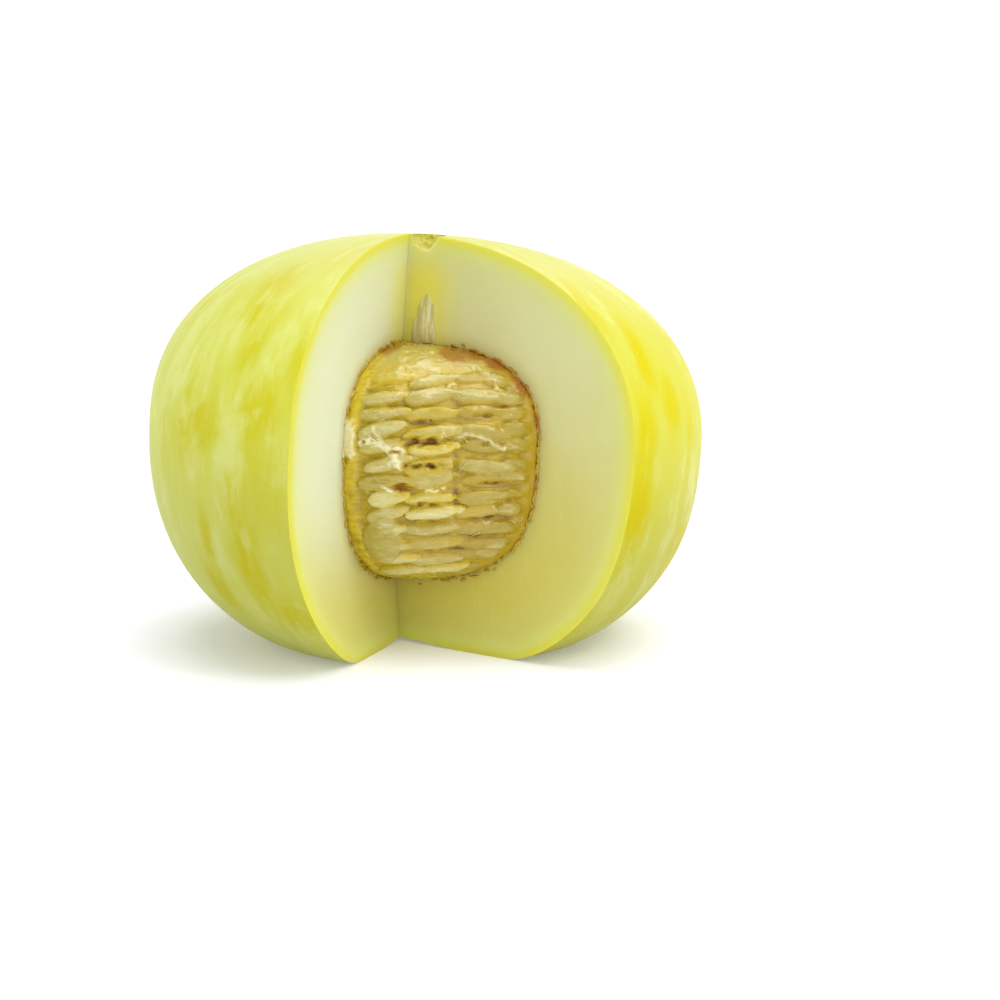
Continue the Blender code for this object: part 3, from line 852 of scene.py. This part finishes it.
def make_pulp():
    """The whole barrel of pulp, turned, with the seeds, gel, gaps and films of its front worked into it."""
    pulp = turned("pulp_barrel", pulp_point, PULP_RINGS * 2, PULP_SIDES, pulp_finish)
    for point in pulp.data.vertices:
        way = facing(crowded(math.atan2(point.co.x, -point.co.y))) * point.co.xy.length
        point.co = Vector((way.x, way.y, point.co.z))
    points = np.array([point.co for point in pulp.data.vertices])
    azimuth, height = np.arctan2(points[:, 0], -points[:, 1]), points[:, 2]
    radius = np.hypot(points[:, 0], points[:, 1])
    upright = points @ np.array(Matrix.Rotation(-CAVITY_TILT, 3, "Y")).T + np.array(CAVITY_CENTRE)
    from_crease = 1000.0 * (upright[:, :2] - np.array(CREASE))
    left, right = facing(LEFT_CUT), facing(RIGHT_CUT)
    from_left = from_crease @ np.array((-left.y, left.x))
    from_right = from_crease @ np.array((right.y, -right.x))
    shown = steps(from_left, -1.0, 0.0) * steps(from_right, -1.0, 0.0)
    among = steps(from_left, *LEFT_GEL) * steps(from_right, *RIGHT_GEL) * steps(height, *FOOT_GEL)
    dome = steps(height, *DOME_RISE)

    vary = random.Random(23)
    seeds, tints = [], []
    for turn, level, slope, share in seed_places():
        sink = SEED_SINK + vary.uniform(*SINK_STRAY) + TOP_SINK * smooth(level, *TOP_SINK_RISE)
        size = [whole * vary.uniform(*SIZE_STRAY) for whole in SEED_SIZE]
        size[0] *= share
        seeds.append((seed_matrix(turn, level, slope + vary.uniform(-SLOPE_STRAY, SLOPE_STRAY), sink), size))
        least, added = LEFT_TINT if math.degrees(turn) < TINT_CHANGE else RIGHT_TINT
        tints.append(least + added * vary.random())
    turn, level, slope, size = POCKET
    seeds.append((seed_matrix(turn, level, slope), size))
    tints.append(POCKET_TINT)
    tight, filled, nearest = seed_relief(points, seeds)
    membrane = np.clip(spots(MEMBRANES, azimuth, height) + 0.35 * clouds(points, *MEMBRANE_CLOUD), 0.0, 1.0)
    relief = tight + (filled - tight) * membrane - 0.25 * membrane
    relief += (DOME_RELIEF - relief) * 0.9 * dome

    unrolled = np.column_stack((azimuth * CAVITY_RADIUS, height, radius - CAVITY_RADIUS))
    wrinkle = clouds(unrolled, *WRINKLE_CLOUD) + 0.6 * clouds(unrolled, *FINE_WRINKLE_CLOUD)
    lump = clouds(unrolled, *LUMP_CLOUD)
    pit = steps(clouds(unrolled, *PIT_CLOUD), -0.15, 0.35)
    calm = 1.0 - 0.75 * np.clip(spots(POCKET_CALM, azimuth, height), 0.0, 1.0)
    relief += calm * (0.20 * wrinkle + 0.30 * lump)
    torn = np.clip(spots(DARK_GAPS, azimuth, height) * (0.6 + 0.5 * pit), 0.0, 1.0)
    relief += np.minimum(TORN_DEPTH - relief, 0.0) * torn
    waver = (0.8 * clouds(unrolled, *ASIDE_CLOUD), 0.6 * clouds(unrolled, *UP_CLOUD))
    film, film_lift = film_strength(azimuth, height, waver)
    film *= steps(clouds(unrolled, *HOLE_CLOUD), -0.5, 0.0)
    relief += np.maximum(0.2 - relief, 0.0) * film * 0.7 + film_lift * film
    gel = 0.20 * clouds(unrolled, *GEL_CLOUD) + 0.08 * wrinkle - 0.3
    relief = (relief * among + gel * (1.0 - among)) * shown
    ragged = clouds(unrolled, *RAGGED_CLOUD)
    lip = flesh_lip(from_left + 1.6 * ragged, height + 0.0016 * ragged) * shown
    relief += (0.45 + 0.3 * lump - relief) * lip

    polar = np.arctan2(height, radius)
    run = np.interp(polar, np.arctan2(RUN_HEIGHT, RUN_RADIUS), RUN)
    out = np.interp(run, RUN, np.gradient(RUN_HEIGHT, RUN)) * relief / 1000.0
    up = -np.interp(run, RUN, np.gradient(RUN_RADIUS, RUN)) * relief / 1000.0
    scale = 1.0 + out / np.maximum(radius, 0.001)
    moved = np.column_stack((points[:, 0] * scale, points[:, 1] * scale, points[:, 2] + up))
    pulp.data.vertices.foreach_set("co", moved.ravel())
    paint(pulp, "rise", relief * among + (relief - 0.35) * (1.0 - among))
    tinted = np.array(tints)[nearest] * (1.0 - dome) + DOME_TINT * dome
    paint(pulp, "tint", tinted * among + (azimuth < 0.0) * (1.0 - among))
    paint(pulp, "browning_and_shade", spots(BROWN_AND_SHADE_SPOTS, azimuth, height) * shown)
    paint(pulp, "film", np.maximum(film * among, LIP_FILM * lip))
    return pulp


def set_in_melon(piece, material):
    """Tilts a piece of the seed mass into the cavity, leans it with the melon and gives it its one finish."""
    piece.data.transform(Matrix.Translation(CAVITY_CENTRE) @ Matrix.Rotation(-CAVITY_TILT, 4, "Y"))
    put_in_place(piece)
    piece.data.materials.clear()
    piece.data.materials.append(material)
    piece.data.shade_smooth()
    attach(piece, "root")


pulp = make_pulp()
set_in_melon(pulp, pulp_finish)
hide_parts("seed_mass")

# The torn edge of the gel clings to the flesh all round the notch: small wet lumps of pulp, a millimetre or
# two long, browned here and there and partly darkened with painted shade under the cavity's roof, left where
# the wedge tore away from it.
FRINGE_GRAIN = 0.00018
LUMP_ROUGH = (0.00022, 0.0006, (1.0, 1.0, 1.0), 4.0)
LUMP_RADIUS = 0.0005
# The least and most that a lump is stretched along each axis, and how far it leans in radians
LUMP_STRETCH, LUMP_LEAN = [(0.5, 1.0), (0.5, 1.0), (1.0, 3.2)], 0.5
# The step that gives the rim's direction, and the run past which out also means fully up or down
RIM_STEP, RIM_BEND = 0.0005, 0.035
# Each rim of torn gel: the cut, the runs from low to high where it starts and ends, lumps, how far it spreads
FRINGES = [(LEFT_CUT, -0.058, 0.050, 130, 0.35), (RIGHT_CUT, -0.058, 0.042, 140, 0.4)]


def copied(piece, place):
    """A copy of a piece with its own mesh, at a place."""
    copy = piece.copy()
    copy.data = piece.data.copy()
    copy.data.transform(place)
    bpy.context.scene.collection.objects.link(copy)
    return copy


def joined(name, pieces):
    """One object of several."""
    selected(*pieces)
    bpy.ops.object.join()
    whole = bpy.context.object
    whole.name = whole.data.name = name
    return whole


def make_lump(material):
    """One ragged lump, a millimetre across."""
    bpy.ops.object.select_all(action="DESELECT")
    bpy.ops.mesh.primitive_ico_sphere_add(subdivisions=2, radius=LUMP_RADIUS)
    return roughened(closed(opened("lump"), material), *LUMP_ROUGH)


def rim_point(cut, run, out):
    """Where the cavity's wall meets a knife cut, by the run along the wall, moved out into the flesh."""
    radius, level = float(np.interp(run, RUN, RUN_RADIUS)) + out, float(np.interp(run, RUN, RUN_HEIGHT))
    spot = facing(cut_azimuth(cut, radius, level)) * radius
    return Vector((spot.x, spot.y, level + out * math.copysign(min(abs(run) / RIM_BEND, 1.0) ** 3, run)))


def make_fringe():
    """The ragged edge of gel that clings to the flesh all round the notch, where the wedge tore away."""
    lump, lumps, draw = make_lump(pulp_finish), [], random.Random(41)
    for cut, low, high, count, spread in FRINGES:
        for step in range(count):
            run = low + (high - low) * (step + draw.random()) / count
            out = draw.gauss(-0.1, spread) / 1000
            spot = rim_point(cut, run, out)
            along = (rim_point(cut, run + RIM_STEP, out) - spot).to_track_quat("Z", "Y").to_matrix().to_4x4()
            size = [draw.uniform(*ends) for ends in LUMP_STRETCH]
            turn = Matrix.Rotation(draw.uniform(-LUMP_LEAN, LUMP_LEAN), 4, "X")
            turn = turn @ Matrix.Rotation(draw.uniform(-LUMP_LEAN, LUMP_LEAN), 4, "Y")
            place = Matrix.Translation(spot) @ along @ turn
            lumps.append(copied(lump, place @ Matrix.Diagonal((*size, 1.0))))
    bpy.data.objects.remove(lump, do_unlink=True)
    fringe = joined("pulp_fringe", lumps)
    applied(fringe, "REMESH", mode="VOXEL", voxel_size=FRINGE_GRAIN)
    applied(fringe, "SMOOTH", factor=0.5, iterations=3)
    points = np.array([point.co for point in fringe.data.vertices])
    azimuth, height = np.arctan2(points[:, 0], -points[:, 1]), points[:, 2]
    browned_and_shaded = 0.05 + 0.4 * clouds(points, (4, 4, 4), 3.0) + 0.8 * spots(BROWN_AND_SHADE_SPOTS, azimuth, height)
    paint(fringe, "rise", -0.55 + 0.6 * clouds(points, (2, 2, 2), 5.0))
    paint(fringe, "tint", np.zeros(len(points)))
    paint(fringe, "browning_and_shade", np.clip(browned_and_shaded, 0.0, 1.0))
    paint(fringe, "film", LIP_FILM * (azimuth < 0.0) * flesh_lip(0.0, height))
    return fringe


fringe = make_fringe()
set_in_melon(fringe, pulp_finish)

# Threads of the torn membrane lie over the seeds: whitish wet fibre about a tenth of a millimetre thick,
# grown fast to the pulp at both ends and standing a little proud between them.
FIBRE_ROUGH = (0.0002, 0.0009, (1.0, 1.0, 1.0), 2.0)
# Thickness, then the points that each runs over: azimuth and height in degrees and millimetres, and how proud
FIBRES = [
    (0.13, (-19.5, 5.6, 1.0), (-17.5, 4.6, 1.9), (-15.5, 3.0, 2.1), (-13.4, 2.2, 1.5)),
    (0.10, (-14.6, 5.8, 1.2), (-13.6, 3.6, 2.0), (-12, 1.6, 2.1), (-10, 0.2, 1.5)),
    (0.12, (-12.5, 1.4, 1.5), (-10.6, -0.6, 2.0), (-9.2, -2.9, 1.2)),
    (0.11, (8.0, 4.4, 1.2), (13.0, 5.6, 1.9), (18.0, 4.2, 2.0), (22.0, 1.6, 1.3)),
    (0.08, (3.5, 7.0, 1.0), (5, 6.0, 1.8), (4.5, 4.8, 1.7), (7, 4.0, 1.2)),
    (0.07, (14, 16, 0.6), (17, 14.8, 1.4), (21, 14.2, 1.3), (24, 15.4, 0.6)),
    (0.07, (-12, 13.4, 0.8), (-6, 14.9, 1.4), (0, 14.4, 1.4), (4, 13.0, 0.8)),
]
# Loose fibres: how many, how proud each of their points is, and the least and most of where they start, how
# far they turn, rise and bend, and how thick they are
LOOSE_FIBRES = 26
LOOSE_PROUD = (0.5, 1.3, 1.5, 1.2, 0.4)
LOOSE_START, LOOSE_TURN = [(-19, 30), (-26, 18)], (2, 6)
LOOSE_RISE, LOOSE_BEND, LOOSE_THICKNESS = (-3.0, 3.0), (-1.5, 1.5), (0.04, 0.08)


def finish_fibre():
    """Torn threads of membrane, whitish and wet."""
    fibre = Finish("torn_fibre", Specular_IOR_Level=0.5, Subsurface_Weight=0.4, Subsurface_Scale=0.002,
                   Subsurface_Radius=(1.0, 0.9, 0.6))
    strings = fibre.cloud(fibre.place(), 1500.0, 3.0)
    fibre.feeds("Base Color", strings.between(0.35, 0.65).blend(colour(214, 196, 122), colour(228, 220, 176)))
    fibre.feeds("Roughness", 0.25 + strings * 0.3)
    return fibre.material


fibre_finish = finish_fibre()


def on_pulp(azimuth, height, proud):
    """A place in the cavity's frame, over the pulp's surface, from degrees and millimetres."""
    level = height / 1000
    way = facing(math.radians(azimuth)) * (pulp_radius(level) + proud / 1000)
    return Vector((way.x, way.y, level))


def draw_fibres():
    """The fibres that are listed, and thin loose ones that cross from row to row."""
    draw = random.Random(31)
    loose = []
    for _ in range(LOOSE_FIBRES):
        azimuth, height = [draw.uniform(*ends) for ends in LOOSE_START]
        turn, rise = draw.uniform(*LOOSE_TURN) * draw.choice((-1, 1)), draw.uniform(*LOOSE_RISE)
        bend = draw.uniform(*LOOSE_BEND)
        points = [(azimuth + turn * step / 4, height + rise * step / 4 + bend * step * (4 - step) / 4, proud)
                  for step, proud in enumerate(LOOSE_PROUD)]
        loose.append((draw.uniform(*LOOSE_THICKNESS), *points))
    return FIBRES + loose


def make_fibre(thickness, path):
    """One fibre: a smooth curve with a round section, thin at both ends, turned into a mesh."""
    curve = bpy.data.curves.new("fibre", "CURVE")
    curve.dimensions, curve.bevel_depth, curve.bevel_resolution = "3D", thickness / 1000, 2
    curve.use_fill_caps, curve.resolution_u = True, 8
    spline = curve.splines.new("NURBS")
    spline.points.add(len(path) - 1)
    for step, (point, spot) in enumerate(zip(spline.points, path)):
        end = step in (0, len(path) - 1)
        point.co, point.radius = (*on_pulp(*spot), 1.0), 0.25 if end else 1.0
    spline.use_endpoint_u, spline.order_u = True, min(4, len(path))
    piece = bpy.data.objects.new("fibre", curve)
    bpy.context.scene.collection.objects.link(piece)
    selected(piece)
    bpy.ops.object.convert(target="MESH")
    return closed(opened("fibre"), fibre_finish)


fibres = joined("pulp_fibres", [make_fibre(thickness, path) for thickness, *path in draw_fibres()])
set_in_melon(roughened(fibres, *FIBRE_ROUGH), fibre_finish)

# Dark crumbs of dried tissue, about a millimetre long, stick to the wet pulp and to its torn rim. Each is the
# same ragged lump, turned and stretched another way.
CRUMB_TURN, CRUMB_AXIS = 1.7, (1.0, 0.4, 0.7)
# Azimuth and height of each in degrees and millimetres, how proud it stands and its length
CRUMBS = [
    (-26.0, 10.4, 0.2, 1.4), (30.6, 22.6, 0.6, 1.2), (-2.5, -12.4, 0.9, 1.0), (24.5, 24.2, 0.4, 1.0),
    (-16.5, 24.6, 0.4, 0.8), (35.0, 14.0, 0.3, 0.8), (-21, 20.5, 0.2, 0.7), (2.5, 2.6, 0.0, 0.7),
    (-6.5, -3.0, -0.2, 0.7), (0.5, -2.2, -0.2, 0.7), (-4.0, 3.4, -0.2, 0.8), (1.0, 8.4, 0.0, 0.6),
]


def finish_crumb():
    """Small dark crumbs of dried tissue."""
    crumb = Finish("dark_crumb", Specular_IOR_Level=0.3)
    grains = crumb.cloud(crumb.place(), 2400.0, 3.0)
    crumb.feeds("Base Color", grains.between(0.4, 0.65).blend(colour(88, 66, 14), colour(150, 120, 32)))
    crumb.feeds("Roughness", 0.5 + grains * 0.3)
    return crumb.material


crumb_finish = finish_crumb()
crumb = make_lump(crumb_finish)
crumbs = []
for step, (azimuth, height, proud, length) in enumerate(CRUMBS):
    place = Matrix.Translation(on_pulp(azimuth, height, proud))
    place = place @ Matrix.Rotation(CRUMB_TURN * step, 4, CRUMB_AXIS)
    crumbs.append(copied(crumb, place @ Matrix.Diagonal((length, 0.8 * length, 0.6 * length, 1.0))))
bpy.data.objects.remove(crumb, do_unlink=True)
crumbs = joined("pulp_crumbs", crumbs)
set_in_melon(crumbs, crumb_finish)

# The studio: a white sheet that the melon stands on, lit a little from below, which runs on past the view, a
# broad soft light from above, a weaker one and a small window at the front right, and white walls all round.
FLOOR_SIZE = 60.0
TABLE_GLOW = 0.17
PAPER_WHITE = (0.87, 0.885, 0.98, 1.0)
PURE_WHITE = (1.0, 1.0, 1.0, 1.0)
EXPOSURE, CONTRAST = 0.2, 0.88
bpy.ops.object.select_all(action="DESELECT")
bpy.ops.mesh.primitive_plane_add(size=FLOOR_SIZE)
floor = bpy.context.object
floor.name = floor.data.name = "floor_sheet"
paper = Finish("white_paper", Roughness=0.9, Specular_IOR_Level=0.1, Base_Color=PAPER_WHITE,
               Emission_Color=PURE_WHITE, Emission_Strength=TABLE_GLOW)
floor.data.materials.append(paper.material)


def soft_light(name, way, power, spread):
    """Light from far off, from the side that way points to, as soft as its spread is wide."""
    bpy.ops.object.light_add(type="SUN", location=way)
    lamp = bpy.context.object
    lamp.name = lamp.data.name = name
    lamp.data.energy, lamp.data.angle = power, math.radians(spread)
    lamp.rotation_euler = Vector(way).to_track_quat("Z", "Y").to_euler()


WALL_LIGHT, CEILING_LIGHT, CEILING_RISE = 1.0, 0.42, (0.22, 0.60)
soft_light("top_light", (0.15, 0.05, 1.0), 1.6, 60)
soft_light("front_light", (0.75, -0.8, 0.75), 0.42, 60)
soft_light("window_light", (0.8, -0.6, 1.1), 0.3, 14)

world = bpy.data.worlds.new("white_room")
world.use_nodes = True
room = world.node_tree
way = Feed(room, "ShaderNodeTexCoord", {}, {}, "Generated")
height = Feed(room, "ShaderNodeSeparateXYZ", {}, {"Vector": way}, "Z")
brightness = WALL_LIGHT - height.between(*CEILING_RISE) * (WALL_LIGHT - CEILING_LIGHT)
room.links.new(brightness.socket, room.nodes["Background"].inputs["Strength"])
room.nodes["Background"].inputs["Color"].default_value = PURE_WHITE
bpy.context.scene.world = world
view = bpy.context.scene.view_settings
view.view_transform, view.exposure, view.gamma = "Standard", EXPOSURE, CONTRAST

# The camera looks from the photograph's angle: from the front, 42 cm away and a little above the melon.
CAMERA_PLACE = (0.01995, -0.42126, 0.09823)
CAMERA_DROP = math.radians(8.29)
CAMERA_LENS, SENSOR_WIDTH = 54.79, 36.0
bpy.ops.object.camera_add(location=CAMERA_PLACE, rotation=(math.radians(90) - CAMERA_DROP, 0.0, 0.0))
camera = bpy.context.object
camera.data.lens, camera.data.sensor_width = CAMERA_LENS, SENSOR_WIDTH
bpy.context.scene.camera = camera
